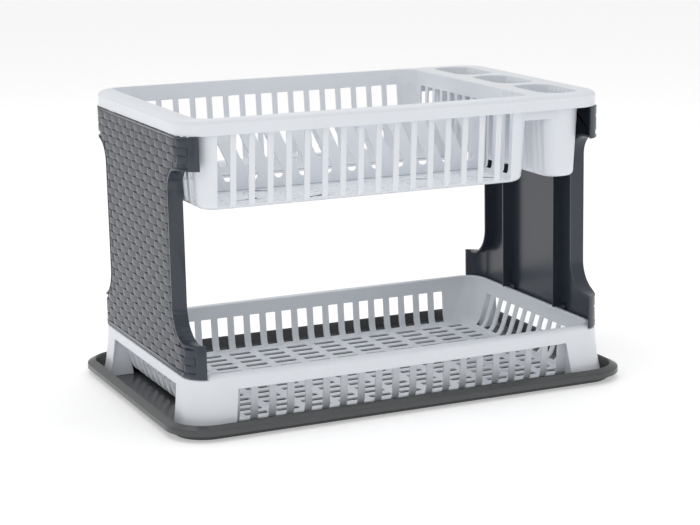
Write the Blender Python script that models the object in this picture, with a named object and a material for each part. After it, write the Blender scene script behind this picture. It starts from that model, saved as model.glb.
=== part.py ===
"""Two-tier dish drying rack: a drip tray, a slatted lower basket, two side panels, an upper
basket with cutlery cups, and the two plate rails that stand on its floor. Lengths are in mm
and become metres where a mesh is made. X runs along the rack, -Y is the front, +Z is up and
the tray's underside is at z = 0."""

import math

import bmesh
import bpy
from mathutils import Vector

MM = 0.001
CORNER_STEPS = 6
SIDE_STEPS = 8
EPSILON = 1.0
SINK = 0.5

# Drip tray
TRAY_HALF = (263.0, 176.0)
TRAY_RADIUS = 44.0
TRAY_FLOOR = 2.0
# Inset from the rim and height, from the underside out to the rolled lip and back in.
TRAY_SECTION = (
    (11.5, 0.0),
    (10.1, 3.0),
    (8.7, 12.2),
    (7.6, 13.0),
    (3.0, 10.9),
    (2.0, 9.6),
    (1.7, 6.5),
    (0.0, 6.5),
    (0.2, 11.8),
    (0.9, 12.8),
    (6.6, 15.5),
    (8.0, 16.0),
    (9.4, 15.3),
    (10.1, 13.8),
    (12.2, 3.4),
    (14.0, TRAY_FLOOR),
)

# Rims shared by both baskets
RIM_HALF = (240.0, 151.4)
RIM_BOW = 4.0
GAP = 0.3

CREST = 61.8
# Lower basket: half length, half depth, corner radius, height, share of the rim's bow
LOWER_SECTION = (
    (208.0, 132.0, 22.0, 4.6, 0.0),
    (214.6, 137.2, 24.0, 6.2, 0.0),
    (219.6, 140.4, 25.0, 11.0, 0.0),
    (222.2, 141.2, 26.0, 18.0, 0.0),
    (233.2, 143.8, 26.0, 52.0, 0.0),
    (233.8, 144.2, 26.0, 56.4, 0.0),
    (237.4, 149.2, 26.0, 53.6, 1.0),
    (238.0, 150.0, 26.5, 45.5, 1.0),
    (241.2, 154.0, 29.0, 20.0, 1.0),
    (244.4, 157.6, 31.0, TRAY_FLOOR + GAP, 1.0),
    (246.6, 159.8, 33.0, TRAY_FLOOR + GAP, 1.0),
    (243.4, 156.2, 31.0, 20.0, 1.0),
    (240.4, 152.4, 28.5, 45.5, 1.0),
    (240.0, RIM_HALF[1], 28.0, 57.4, 1.0),
    (238.8, 150.2, 27.0, 59.2, 1.0),
    (235.0, 146.8, 25.0, 61.2, 0.8),
    (231.6, 143.2, 23.0, CREST, 0.3),
    (230.8, 141.9, 23.0, 60.6, 0.0),
    (230.8, 141.6, 23.0, 52.0, 0.0),
    (219.9, 139.0, 24.0, 18.5, 0.0),
    (217.4, 138.2, 23.0, 12.0, 0.0),
    (213.0, 135.4, 22.0, 8.0, 0.0),
    (208.0, 132.0, 22.0, 6.6, 0.0),
)
WINDOW_TOP = 45.5
FRONT_WINDOW_HALF = (191.0, 196.5)
END_WINDOW_HALF = (104.0, 108.0)
# Depths that the cutters for the windows and the slat gaps span
FRONT_WINDOW_Y = (146.6, 175.0)
END_WINDOW_X = (235.6, 260.0)
LOWER_WALL_X = (212.0, 235.2)
LOWER_WALL_Y = (127.0, 146.0)
LOWER_SLATS = {"pitch": 19.96, "gap": 12.0, "top": 45.0, "bottom": 8.4}
LOWER_FRONT_GAPS = 19
LOWER_END_GAPS = 11
LOWER_SLOT = (25.5, 8.5)
LOWER_SLOT_PITCH = (35.44, 18.0)
LOWER_SLOT_GRID = (12, 14)
LOWER_SLOT_Z = (3.0, 9.0)
WEB = 2.0
LEG_FOOT = TRAY_FLOOR + GAP
FRONT_WEB = ((139.5, LEG_FOOT), (158.0, LEG_FOOT), (150.6, 57.0), (142.9, 57.0), (140.2, 18.0))
END_WEB = ((219.0, LEG_FOOT), (245.4, LEG_FOOT), (238.6, 57.0), (232.4, 57.0), (221.2, 18.0))

# Side panels
PANEL_HALF = (241.0, 151.4)
PANEL_RADIUS = 29.0
PANEL_WALL = 2.5
PANEL_Z = (58.0, 303.2)
# Ranges in X and Z, and a distance in Y, that pass right through or past a panel
PANEL_CLEAR_X = (200.0, 260.0)
PANEL_CLEAR_Z = (0.0, 400.0)
PANEL_CLEAR_Y = 8.0
WRAP_END = 222.0
WAIST_HALF = 104.0
WAIST_TOP = (269.0, 24.0)
WAIST_BOTTOM = (93.0, 33.0)
FLANGE_DEPTH = 16.0
RIB_Y = 60.0
RIB_WALL = 2.4
RIB_FACE = 226.5
RIB_Z = (63.0, 303.0)
TONGUE_WIDTH = 19.0
TONGUE_X = (235.4, 237.0)
TONGUE_Z = (47.0, 312.0)
TONGUE_ROOT = 4.0
PAD_WIDTH = 25.0
PAD_FACE = 234.8

# Upper basket: as for the lower one, for the cap that holds the rim and the deck
CAP_BOTTOM = 303.5
CAP_SECTION = (
    (240.0, 150.8, 30.0, CAP_BOTTOM, 1.0),
    (240.0, 150.8, 30.0, 315.4, 1.0),
    (238.9, 149.7, 29.0, 317.8, 1.0),
    (235.6, 147.4, 27.0, 319.9, 0.8),
    (231.0, 144.0, 25.0, 320.6, 0.4),
)
CAP_HOLLOW = (237.4, 148.3, 28.0)
DECK_UNDERSIDE = 318.2
DECK_MIDDLE = 319.4
ABOVE = 330.0
BASKET_X = (-223.0, 152.0)
BASKET_BOTTOM = 226.8
# Inset from the left, right and long sides at the rim, corner radius, height above the
# bottom, up to whatever top is asked for
BASKET_SECTION = (
    (11.4, 10.0, 13.0, 14.0, 0.0),
    (6.4, 5.0, 8.6, 16.0, 2.0),
    (4.4, 3.2, 7.0, 17.0, 7.0),
    (0.0, 0.0, 0.0, 18.0, None),
)
BASKET_HALF_Y = 147.0
BASKET_WALL = 2.0
UPPER_GAP_Z = (230.8, 303.0)
UPPER_WALL_Y = (133.0, 147.6)
UPPER_END_DEPTH = (9.0, EPSILON)
UPPER_FRONT_GAP = {"pitch": 19.83, "gap": 13.4, "first": -194.7, "count": 17}
UPPER_END_GAP = {"pitch": 19.0, "gap": 12.4, "count": 13}
UPPER_SLOT = (26.0, 6.6)
UPPER_SLOT_PITCH = 35.0
UPPER_SLOT_COLUMNS = 10
UPPER_SLOT_ROWS = (66.0, 80.0, 94.0, 108.0, 122.0)
UPPER_SLOT_Z = (BASKET_BOTTOM - EPSILON, BASKET_BOTTOM + BASKET_WALL + EPSILON)
WELL_X = (-165.0, 139.5)
WELL_HALF = 43.0

# Plate rails
RAIL_Y = 47.0
RAIL_WALL = 2.8
RAIL_PITCH = 28.2
RAIL_SLOTS = 11
RAIL_FIRST = -155.7
RAIL_LEAN = math.radians(25.0)
RAIL_SLOT_RADIUS = 5.2
RAIL_SLOT_BOTTOM = 238.7
RAIL_TOP = 290.0
RAIL_FOOT = BASKET_BOTTOM + BASKET_WALL + GAP
# The end that follows the basket's wall, in X and Z
RAIL_END = ((139.8, RAIL_FOOT), (144.6, 231.1), (146.4, 236.0), (148.4, RAIL_TOP))
RAIL_TIP = 3.0
RAIL_TOOTH = 16.6

# Cutlery cups
CUP_X = 194.5
CUP_PITCH = 98.0
CUP_COUNT = 3
CUP_SPACE = (22.5, 43.5, 20.0)
CUP_MOUTH_RADIUS = 20.0
CUP_TAPER = 5.0
CUP_CORNER = 3.5
CUP_WALL = 2.0
CUP_BOTTOM = 228.2
CUP_DRAIN = (6.0, 28.0)
CUP_DRAINS = 3
TIE_X = (143.0, 186.0)
TIE_Y = (139.3, 141.3)
TIE_Z = (293.0, 305.0)

WHITE = ("white_plastic", (0.80, 0.83, 0.87, 1.0), 0.30)
GREY = ("grey_plastic", (0.115, 0.125, 0.14, 1.0), 0.42)
SILVER_GREY = ("light_grey_plastic", (0.21, 0.22, 0.24, 1.0), 0.38)


def material(name, colour, roughness):
    found = bpy.data.materials.new(name)
    found.use_nodes = True
    shader = found.node_tree.nodes["Principled BSDF"]
    shader.inputs["Base Color"].default_value = colour
    shader.inputs["Roughness"].default_value = roughness
    shader.inputs["Metallic"].default_value = 0.0
    return found


def outline(half_x, half_y, radius, bow=0.0, centre=(0.0, 0.0)):
    """A rounded rectangle seen from above. A bow swells its two long sides."""
    points = []
    for quarter in range(4):
        sign_x = 1 if quarter in (0, 3) else -1
        sign_y = 1 if quarter in (0, 1) else -1
        for step in range(CORNER_STEPS + 1):
            angle = math.pi / 2 * (quarter + step / CORNER_STEPS)
            x = sign_x * (half_x - radius) + radius * math.cos(angle)
            y = sign_y * (half_y - radius) + radius * math.sin(angle)
            points.append((x, y))
        if bow and quarter in (0, 2):
            start = points[-1]
            for step in range(1, SIDE_STEPS):
                share = step / SIDE_STEPS
                x = start[0] * (1 - 2 * share)
                swell = bow * (1 - (x / start[0]) ** 2)
                points.append((x, start[1] + math.copysign(swell, start[1])))
    return [(x + centre[0], y + centre[1]) for x, y in points]


def ring(half_x, half_y, radius, z, bow=0.0, centre=(0.0, 0.0)):
    return [(x, y, z) for x, y in outline(half_x, half_y, radius, bow, centre)]


def bowed_ring(half_x, half_y, radius, z, share):
    """A ring that has points along its long sides even where they are straight."""
    return ring(half_x, half_y, radius, z, RIM_BOW * share + 1e-6)


def add_object(name, bm):
    """A new object. Its faces are triangles, because a Boolean needs them flat."""
    bmesh.ops.recalc_face_normals(bm, faces=bm.faces)
    bmesh.ops.triangulate(bm, faces=bm.faces)
    mesh = bpy.data.meshes.new(name)
    bm.to_mesh(mesh)
    bm.free()
    obj = bpy.data.objects.new(name, mesh)
    bpy.context.scene.collection.objects.link(obj)
    return obj


def add_loft(bm, rings):
    """One closed body through the rings, with a cap on the first and the last."""
    loops = [[bm.verts.new(Vector(point) * MM) for point in points] for points in rings]
    for first, second in zip(loops, loops[1:]):
        for i in range(len(first)):
            j = (i + 1) % len(first)
            bm.faces.new((first[i], first[j], second[j], second[i]))
    bm.faces.new(loops[0][::-1])
    bm.faces.new(loops[-1])


def loft(name, rings):
    bm = bmesh.new()
    add_loft(bm, rings)
    return add_object(name, bm)


def add_box(bm, x, y, z):
    low, high = (
        [(x[0], y[0], level), (x[1], y[0], level), (x[1], y[1], level), (x[0], y[1], level)]
        for level in z
    )
    add_loft(bm, (low, high))


def boxes(name, extents):
    bm = bmesh.new()
    for extent in extents:
        add_box(bm, *extent)
    return add_object(name, bm)


def both_ways(low, high):
    """The range and its mirror image."""
    return ((low, high), (-high, -low))


def centred(centre, width):
    return (centre - width / 2, centre + width / 2)


def places(count, pitch):
    """Evenly spaced centres about 0."""
    return [pitch * (i - (count - 1) / 2) for i in range(count)]


def join(obj, tool, operation):
    """Applies one Boolean and removes its tool."""
    modifier = obj.modifiers.new(operation.lower(), "BOOLEAN")
    modifier.operation = operation
    modifier.solver = "EXACT"
    modifier.object = tool
    graph = bpy.context.evaluated_depsgraph_get()
    mesh = bpy.data.meshes.new_from_object(obj.evaluated_get(graph))
    obj.modifiers.clear()
    obj.data = mesh
    bpy.data.objects.remove(tool)


def cut(obj, tool):
    join(obj, tool, "DIFFERENCE")


def fuse(obj, tool):
    join(obj, tool, "UNION")


def finish(obj, paint):
    obj.data.materials.clear()
    obj.data.materials.append(paint)


def make_drip_tray(paint):
    rings = []
    for inset, z in TRAY_SECTION:
        rings.append(
            ring(TRAY_HALF[0] - inset, TRAY_HALF[1] - inset, TRAY_RADIUS - inset, z)
        )
    finish(loft("drip_tray", rings), paint)


def make_windows():
    """Cutters for the skirt between the corner legs."""
    bm = bmesh.new()
    below = TRAY_FLOOR - EPSILON
    for y in both_ways(*FRONT_WINDOW_Y):
        low, high = (
            [(-half, y[0], z), (half, y[0], z), (half, y[1], z), (-half, y[1], z)]
            for half, z in ((FRONT_WINDOW_HALF[1], below), (FRONT_WINDOW_HALF[0], WINDOW_TOP))
        )
        add_loft(bm, (low, high))
    for x in both_ways(*END_WINDOW_X):
        low, high = (
            [(x[0], -half, z), (x[1], -half, z), (x[1], half, z), (x[0], half, z)]
            for half, z in ((END_WINDOW_HALF[1], below), (END_WINDOW_HALF[0], WINDOW_TOP))
        )
        add_loft(bm, (low, high))
    return add_object("windows", bm)


def make_lower_gaps():
    """Cutters for the gaps between slats and for the slots in the floor."""
    extents = []
    z = (LOWER_SLATS["bottom"], LOWER_SLATS["top"])
    for x in places(LOWER_FRONT_GAPS, LOWER_SLATS["pitch"]):
        for y in both_ways(*LOWER_WALL_Y):
            extents.append((centred(x, LOWER_SLATS["gap"]), y, z))
    for y in places(LOWER_END_GAPS, LOWER_SLATS["pitch"]):
        for x in both_ways(*LOWER_WALL_X):
            extents.append((x, centred(y, LOWER_SLATS["gap"]), z))
    for x in places(LOWER_SLOT_GRID[0], LOWER_SLOT_PITCH[0]):
        for y in places(LOWER_SLOT_GRID[1], LOWER_SLOT_PITCH[1]):
            sides = (centred(x, LOWER_SLOT[0]), centred(y, LOWER_SLOT[1]))
            extents.append((*sides, LOWER_SLOT_Z))
    return boxes("gaps", extents)


def make_webs():
    """Plates that close the legs beside each window, from the skirt to the basket."""
    bm = bmesh.new()
    for side in (-1, 1):
        for span in both_ways(FRONT_WINDOW_HALF[1], FRONT_WINDOW_HALF[1] + WEB):
            add_loft(bm, [[(x, side * y, z) for y, z in FRONT_WEB] for x in span])
        for span in both_ways(END_WINDOW_HALF[1], END_WINDOW_HALF[1] + WEB):
            add_loft(bm, [[(side * x, y, z) for x, z in END_WEB] for y in span])
    return add_object("webs", bm)


def make_seats():
    """Cutters for the ledge in the rim that each panel stands on."""
    far = 2 * PANEL_HALF[0]
    z = (PANEL_Z[0] - GAP, CREST + EPSILON)
    seats = boxes("seats", [(x, (-far, far), z) for x in both_ways(WRAP_END - GAP, far)])
    inset = PANEL_WALL + GAP
    size = (PANEL_HALF[0] - inset, PANEL_HALF[1] - inset, PANEL_RADIUS - inset)
    cut(seats, loft("core", [ring(*size, level) for level in (z[0] - EPSILON, z[1] + EPSILON)]))
    return seats


def make_sockets():
    extents = []
    for y in (-RIB_Y, RIB_Y):
        for x in both_ways(TONGUE_X[0] - GAP, TONGUE_X[1] + GAP):
            extents.append((x, centred(y, TONGUE_WIDTH + 2 * GAP), (TONGUE_Z[0], RIB_Z[0])))
    return boxes("sockets", extents)


def make_lower_basket(paint):
    basket = loft("lower_basket", [bowed_ring(*station) for station in LOWER_SECTION])
    cut(basket, make_windows())
    fuse(basket, make_webs())
    cut(basket, make_lower_gaps())
    cut(basket, make_seats())
    cut(basket, make_sockets())
    finish(basket, paint)


def waist_contour(shift):
    """The edge of one long cut-out, from the top wrap to the bottom one, in Y and Z.
    The shift moves it towards the middle of the panel."""
    top_z, top_radius = WAIST_TOP
    bottom_z, bottom_radius = WAIST_BOTTOM
    beyond = PANEL_HALF[1] + PANEL_CLEAR_Y
    points = [(beyond, top_z + shift)]
    for step in range(CORNER_STEPS + 1):
        angle = math.pi / 2 * (1 + step / CORNER_STEPS)
        radius = top_radius + shift
        y = WAIST_HALF + top_radius + radius * math.cos(angle)
        z = top_z - top_radius + radius * math.sin(angle)
        points.append((y, z))
    for step in range(CORNER_STEPS + 1):
        angle = math.pi / 2 * (2 + step / CORNER_STEPS)
        radius = bottom_radius + shift
        y = WAIST_HALF + bottom_radius + radius * math.cos(angle)
        z = bottom_z + bottom_radius + radius * math.sin(angle)
        points.append((y, z))
    points.append((beyond, bottom_z - shift))
    return points


def prism_yz(name, points, x):
    """A body along X over a closed outline in Y and Z, and its mirror image in Y."""
    bm = bmesh.new()
    for sign in (1, -1):
        add_loft(bm, [[(px, sign * y, z) for y, z in points] for px in x])
    return add_object(name, bm)


def column(name, inset, x, z):
    """A rounded column that fills a panel's outside, cut off behind x."""
    half_x = PANEL_HALF[0] - inset
    half_y = PANEL_HALF[1] - inset
    body = loft(name, [ring(half_x, half_y, PANEL_RADIUS - inset, level) for level in z])
    behind = ((-2 * half_x, x), (-2 * half_y, 2 * half_y), PANEL_CLEAR_Z)
    cut(body, boxes("behind", [behind]))
    return body


def make_side_panel(name, paint, mirrored):
    panel = column(name, 0.0, WRAP_END, PANEL_Z)
    cut(panel, column("inside", PANEL_WALL, WRAP_END - EPSILON, PANEL_CLEAR_Z))
    band = waist_contour(-EPSILON) + waist_contour(PANEL_WALL)[::-1]
    flange = prism_yz("flange", band, (PANEL_HALF[0] - FLANGE_DEPTH, PANEL_CLEAR_X[1]))
    skin = PANEL_WALL / 4
    bounds = column("bounds", skin, WRAP_END, (PANEL_Z[0] + skin, PANEL_Z[1] - skin))
    join(flange, bounds, "INTERSECT")
    fuse(panel, flange)
    cut(panel, prism_yz("waist", waist_contour(0.0), PANEL_CLEAR_X))
    ribs = []
    pads = []
    tongues = []
    for y in (-RIB_Y, RIB_Y):
        inside_wall = PANEL_HALF[0] - PANEL_WALL / 2
        ribs.append(((RIB_FACE, inside_wall), centred(y, RIB_WALL), RIB_Z))
        low_root = (RIB_Z[0], RIB_Z[0] + TONGUE_ROOT)
        high_root = (RIB_Z[1] - TONGUE_ROOT, RIB_Z[1])
        for root in (low_root, high_root):
            pads.append(((PAD_FACE, inside_wall), centred(y, PAD_WIDTH), root))
        sides = centred(y, TONGUE_WIDTH)
        tongues.append((TONGUE_X, sides, (TONGUE_Z[0], low_root[1] - SINK)))
        tongues.append((TONGUE_X, sides, (high_root[0] + SINK, TONGUE_Z[1])))
    fuse(panel, boxes("ribs", ribs))
    fuse(panel, boxes("pads", pads))
    fuse(panel, boxes("tongues", tongues))
    if mirrored:
        bm = bmesh.new()
        bm.from_mesh(panel.data)
        for vert in bm.verts:
            vert.co.x = -vert.co.x
        bmesh.ops.reverse_faces(bm, faces=bm.faces)
        bm.to_mesh(panel.data)
        bm.free()
    finish(panel, paint)


def basket_rings(wall, top):
    """The upper basket's body, or the space inside it when a wall is given."""
    rings = []
    for left, right, side, radius, rise in BASKET_SECTION:
        low_x = BASKET_X[0] + left + wall
        high_x = BASKET_X[1] - right - wall
        half_y = BASKET_HALF_Y - side - wall
        centre = ((low_x + high_x) / 2, 0.0)
        height = top if rise is None else BASKET_BOTTOM + wall + rise
        rings.append(ring((high_x - low_x) / 2, half_y, radius - wall, height, centre=centre))
    return rings


def cup_rings(y, wall, bottom, top):
    """A cup's body, or the space inside it when there is no wall."""
    half_x, half_y, radius = CUP_SPACE
    rings = []
    stations = ((CUP_TAPER + CUP_CORNER, bottom), (CUP_TAPER, bottom + CUP_CORNER), (0.0, top))
    for shrink, z in stations:
        size = (half_x - shrink + wall, half_y - shrink + wall, radius - shrink + wall)
        rings.append(ring(*size, z, centre=(CUP_X, y)))
    return rings


def rail_outline():
    """A plate rail seen from the front: a base with slots that lean towards -X."""
    lean = Vector((-math.sin(RAIL_LEAN), math.cos(RAIL_LEAN)))
    across = Vector((math.cos(RAIL_LEAN), math.sin(RAIL_LEAN)))
    slope = math.tan(RAIL_LEAN)
    left = RAIL_FIRST - RAIL_SLOT_RADIUS / math.cos(RAIL_LEAN) - RAIL_TOOTH
    points = [(left, RAIL_FOOT), *RAIL_END]
    for i in reversed(range(RAIL_SLOTS)):
        centre = Vector((RAIL_FIRST + i * RAIL_PITCH, RAIL_SLOT_BOTTOM + RAIL_SLOT_RADIUS))
        sides = []
        for side in (1, -1):
            wall = centre + across * RAIL_SLOT_RADIUS * side
            rise = RAIL_TOP - wall.y
            corner = Vector((wall.x - rise * slope, RAIL_TOP))
            tip = [corner + Vector((RAIL_TIP * side, 0.0)), corner - lean * RAIL_TIP]
            sides.append(tip)
        points += [tuple(point) for point in sides[0]]
        for step in range(CORNER_STEPS + 1):
            angle = RAIL_LEAN - math.pi * step / CORNER_STEPS
            offset = Vector((math.cos(angle), math.sin(angle))) * RAIL_SLOT_RADIUS
            points.append(tuple(centre + offset))
        points += [tuple(point) for point in reversed(sides[1])]
    rise = RAIL_TOP - RAIL_SLOT_BOTTOM - RAIL_SLOT_RADIUS
    points.append((left - rise * slope + RAIL_TIP, RAIL_TOP))
    points.append((left - (rise - RAIL_TIP) * slope, RAIL_TOP - RAIL_TIP))
    points.append((left, RAIL_SLOT_BOTTOM + RAIL_SLOT_RADIUS))
    return points


def make_upper_gaps():
    """Cutters for the gaps in the upper basket's walls and the slots in its floor."""
    extents = []
    for i in range(UPPER_FRONT_GAP["count"]):
        x = UPPER_FRONT_GAP["first"] + i * UPPER_FRONT_GAP["pitch"]
        for y in both_ways(*UPPER_WALL_Y):
            extents.append((centred(x, UPPER_FRONT_GAP["gap"]), y, UPPER_GAP_Z))
    inward, outward = UPPER_END_DEPTH
    ends = (
        (BASKET_X[0] - outward, BASKET_X[0] + inward),
        (BASKET_X[1] - inward, BASKET_X[1] + outward),
    )
    for y in places(UPPER_END_GAP["count"], UPPER_END_GAP["pitch"]):
        for x in ends:
            extents.append((x, centred(y, UPPER_END_GAP["gap"]), UPPER_GAP_Z))
    middle = (BASKET_X[0] + BASKET_X[1]) / 2
    for x in places(UPPER_SLOT_COLUMNS, UPPER_SLOT_PITCH):
        for row in UPPER_SLOT_ROWS:
            for y in (-row, row):
                sides = (centred(x + middle, UPPER_SLOT[0]), centred(y, UPPER_SLOT[1]))
                extents.append((*sides, UPPER_SLOT_Z))
    extents.append((WELL_X, (-WELL_HALF, WELL_HALF), UPPER_SLOT_Z))
    return boxes("gaps", extents)


def make_cups(basket):
    """Hangs the cutlery cups from the deck and opens them."""
    bodies = bmesh.new()
    spaces = bmesh.new()
    mouths = bmesh.new()
    drains = []
    for y in places(CUP_COUNT, CUP_PITCH):
        add_loft(bodies, cup_rings(y, CUP_WALL, CUP_BOTTOM, DECK_MIDDLE))
        floor = CUP_BOTTOM + CUP_WALL
        add_loft(spaces, cup_rings(y, 0.0, floor, DECK_UNDERSIDE))
        size = (CUP_SPACE[0], CUP_SPACE[1], CUP_MOUTH_RADIUS)
        levels = (DECK_UNDERSIDE - EPSILON, ABOVE)
        add_loft(mouths, [ring(*size, z, centre=(CUP_X, y)) for z in levels])
        for x in places(CUP_DRAINS, 2 * CUP_DRAIN[0]):
            sides = (centred(CUP_X + x, CUP_DRAIN[0]), centred(y, CUP_DRAIN[1]))
            drains.append((*sides, (CUP_BOTTOM - EPSILON, floor + EPSILON)))
    fuse(basket, add_object("bodies", bodies))
    cut(basket, add_object("spaces", spaces))
    cut(basket, add_object("mouths", mouths))
    cut(basket, boxes("drains", drains))


def make_upper_basket(paint):
    basket = loft("upper_basket", [bowed_ring(*station) for station in CAP_SECTION])
    hollow = [bowed_ring(*CAP_HOLLOW, z, 1.0) for z in (CAP_BOTTOM - EPSILON, DECK_UNDERSIDE)]
    cut(basket, loft("hollow", hollow))
    fuse(basket, loft("body", basket_rings(0.0, DECK_MIDDLE)))
    make_cups(basket)
    fuse(basket, boxes("ties", [(TIE_X, y, TIE_Z) for y in both_ways(*TIE_Y)]))
    cut(basket, loft("space", basket_rings(BASKET_WALL, ABOVE)))
    cut(basket, make_upper_gaps())
    finish(basket, paint)


def make_plate_rail(name, y, paint):
    walls = centred(y, RAIL_WALL)
    finish(loft(name, [[(x, level, z) for x, z in rail_outline()] for level in walls]), paint)


for old in list(bpy.data.objects):
    bpy.data.objects.remove(old, do_unlink=True)

white = material(*WHITE)
grey = material(*GREY)
make_drip_tray(material(*SILVER_GREY))
make_lower_basket(white)
make_side_panel("side_panel_right", grey, False)
make_side_panel("side_panel_left", grey, True)
make_upper_basket(white)
make_plate_rail("plate_rail_front", -RAIL_Y, white)
make_plate_rail("plate_rail_back", RAIL_Y, white)
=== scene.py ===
"""Visual model of the two-tier dish rack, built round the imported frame. Lengths are in mm
and become metres where a mesh is made. X runs along the rack, -Y is the front. The camera,
lights and floor are in metres."""

import math
from collections import namedtuple

import bmesh
import bpy
from mathutils import Matrix, Vector


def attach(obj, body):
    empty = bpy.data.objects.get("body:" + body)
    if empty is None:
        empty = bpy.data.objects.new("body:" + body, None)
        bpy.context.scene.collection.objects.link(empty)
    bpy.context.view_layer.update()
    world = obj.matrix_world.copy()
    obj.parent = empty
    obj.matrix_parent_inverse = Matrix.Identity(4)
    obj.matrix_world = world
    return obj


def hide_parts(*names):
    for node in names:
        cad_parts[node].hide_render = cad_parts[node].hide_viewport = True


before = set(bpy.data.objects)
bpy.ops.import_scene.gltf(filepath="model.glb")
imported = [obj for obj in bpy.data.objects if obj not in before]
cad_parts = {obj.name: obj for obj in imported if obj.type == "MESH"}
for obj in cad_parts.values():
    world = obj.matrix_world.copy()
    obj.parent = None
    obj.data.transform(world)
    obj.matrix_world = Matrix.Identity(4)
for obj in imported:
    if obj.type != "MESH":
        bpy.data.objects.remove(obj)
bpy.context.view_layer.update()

MM = 0.001
CORNER_STEPS = 14
# Kept between a hole and the edge beside it and between stations and a corner, and how far
# a cutting tool reaches past what it cuts
SLACK = 1.0
# Keeps the points along a straight side from lining up, which would make faces of no area
NUDGE = 0.04
# How far a tongue's end stays inside its pad, and ribs and pads reach into their wall
SINK = 0.5
ROOT = 0.3
# Between a side panel and the rim that it stands round
GAP = 0.3

# Drip tray: inset from the rim and height, from the underside round the lip to the floor
TRAY_HALF = (263.0, 176.0)
TRAY_RADIUS = 44.0
TRAY_CORNER_STEPS = 24
TRAY_SECTION = (
    (11.5, 0.0), (10.9, 0.5), (10.3, 2.4), (9.2, 8.5), (8.6, 12.2), (7.6, 13.2), (3.0, 11.0),
    (2.2, 10.2), (1.9, 7.0), (1.5, 6.5), (0.4, 6.5), (0.0, 6.9), (0.2, 11.6), (0.5, 12.4),
    (1.2, 13.0), (6.4, 15.4), (7.4, 15.9), (8.0, 16.0), (8.8, 15.8), (9.5, 15.0),
    (10.0, 13.8), (12.0, 4.6), (12.7, 3.1), (13.6, 2.3), (15.0, 2.0),
)

# How far the long sides of both rims swell at their middle
RIM_BOW = 4.0

# Lower basket's upper surface: half length, half depth, corner radius, height, share of bow
LOWER_SURFACE = (
    (206.5, 127.0, 18.0, 6.6, 0.0), (208.0, 132.0, 22.0, 6.6, 0.0),
    (210.4, 133.8, 22.1, 6.9, 0.0), (213.4, 135.8, 22.3, 8.4, 0.0),
    (215.8, 137.2, 22.8, 10.4, 0.0), (218.4, 138.6, 23.4, 14.4, 0.0),
    (220.3, 139.1, 24.0, 19.2, 0.0), (228.6, 141.1, 23.3, 45.0, 0.0),
    (230.8, 141.6, 23.0, 52.0, 0.0), (230.8, 141.7, 23.0, 59.4, 0.0),
    (230.95, 142.1, 23.0, 60.7, 0.0), (231.5, 143.0, 23.2, 61.5, 0.2),
    (232.4, 144.2, 23.6, 61.8, 0.4), (233.6, 145.5, 24.3, 61.7, 0.6),
    (235.0, 146.8, 25.0, 61.2, 0.8), (237.2, 148.7, 26.0, 60.3, 0.95),
    (238.8, 150.2, 27.0, 59.2, 1.0), (239.7, 151.1, 27.7, 57.9, 1.0),
    (240.0, 151.4, 28.0, 56.6, 1.0), (240.1, 151.6, 28.1, 55.0, 1.0),
    (240.4, 152.4, 28.5, 45.5, 1.0), (241.6, 154.0, 29.6, 33.0, 1.0),
    (243.2, 156.0, 31.0, 20.0, 1.0), (244.9, 158.0, 32.0, 10.0, 1.0),
    (246.4, 159.6, 33.0, 2.5, 1.0),
)
# Steps of that surface: those with the gaps, those that widen towards the windows, and the
# windows' first
LOWER_GAP_LEVELS = (3, 6)
LOWER_RIM_LEVELS = (9, 18)
LOWER_SKIRT_LEVEL = 20
LOWER_THICK = 2.0
WINDOW_TOP = 45.5
FRONT_WINDOW_HALF = (191.0, 196.5)
END_WINDOW_HALF = (104.0, 108.0)
LOWER_PITCH = 19.96
LOWER_GAP = 12.0
LOWER_FRONT_GAPS = 19
LOWER_END_GAPS = 11
LOWER_SLOT = (25.5, 8.5)
SLOT_RADIUS = 1.6
LOWER_SLOT_PITCH = (35.44, 18.0)
LOWER_SLOT_GRID = (12, 14)
LOWER_SLOT_REACH = 204.0
# Plates beside the skirt's windows: thickness, and outline in Y and Z or in X and Z
WEB = 2.0
LEG_FOOT = 2.3
FRONT_WEB = ((139.5, LEG_FOOT), (158.0, LEG_FOOT), (150.6, 57.0), (142.9, 57.0), (140.2, 18.0))
END_WEB = ((219.0, LEG_FOOT), (245.4, LEG_FOOT), (238.6, 57.0), (232.4, 57.0), (221.2, 18.0))

# Side panels, given for the one at +X
PANEL_HALF = (241.0, 151.4)
PANEL_RADIUS = 29.0
PANEL_WALL = 2.5
PANEL_Z = (58.0, 303.2)
WRAP_END = 222.0
# The waist's half width, and the height and corner radius of the cut-outs' two ends
WAIST_HALF = 104.0
WAIST_TOP = (269.0, 24.0)
WAIST_BOTTOM = (93.0, 33.0)
FLANGE_DEPTH = 16.0
RIB_Y = 60.0
RIB_WALL = 2.4
RIB_FACE = 226.5
RIB_Z = (63.0, 303.0)
TONGUE_WIDTH = 19.0
TONGUE_X = (235.4, 237.0)
TONGUE_Z = (47.0, 312.0)
TONGUE_ROOT = 4.0
PAD_WIDTH = 25.0
PAD_FACE = 234.8
# Cutting tools reach past the panel: up and down, from and to in X, and out in Y
TOOL_Z = (0.0, 400.0)
TOOL_X = (200.0, 260.0)
CONTOUR_PAST = 8.0
FIELD_PAST = 9.0

# Woven relief on the panels
WEAVE_DEPTH = 1.9
WEAVE_ROOT = 0.3
WEAVE_BORDER = 2.4
WEAVE_Z = (63.5, 300.9)
WEAVE_EDGE_X = 231.8
WEAVE_ROWS = 29
STRAND_LENGTH = 26.0
STRAND_SPACE = 0.35
STRANDS_EACH_WAY = 8
# The shortest strand, at its middle and at any height on it
STRAND_LEAST = (2.0, 1.0)
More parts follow.
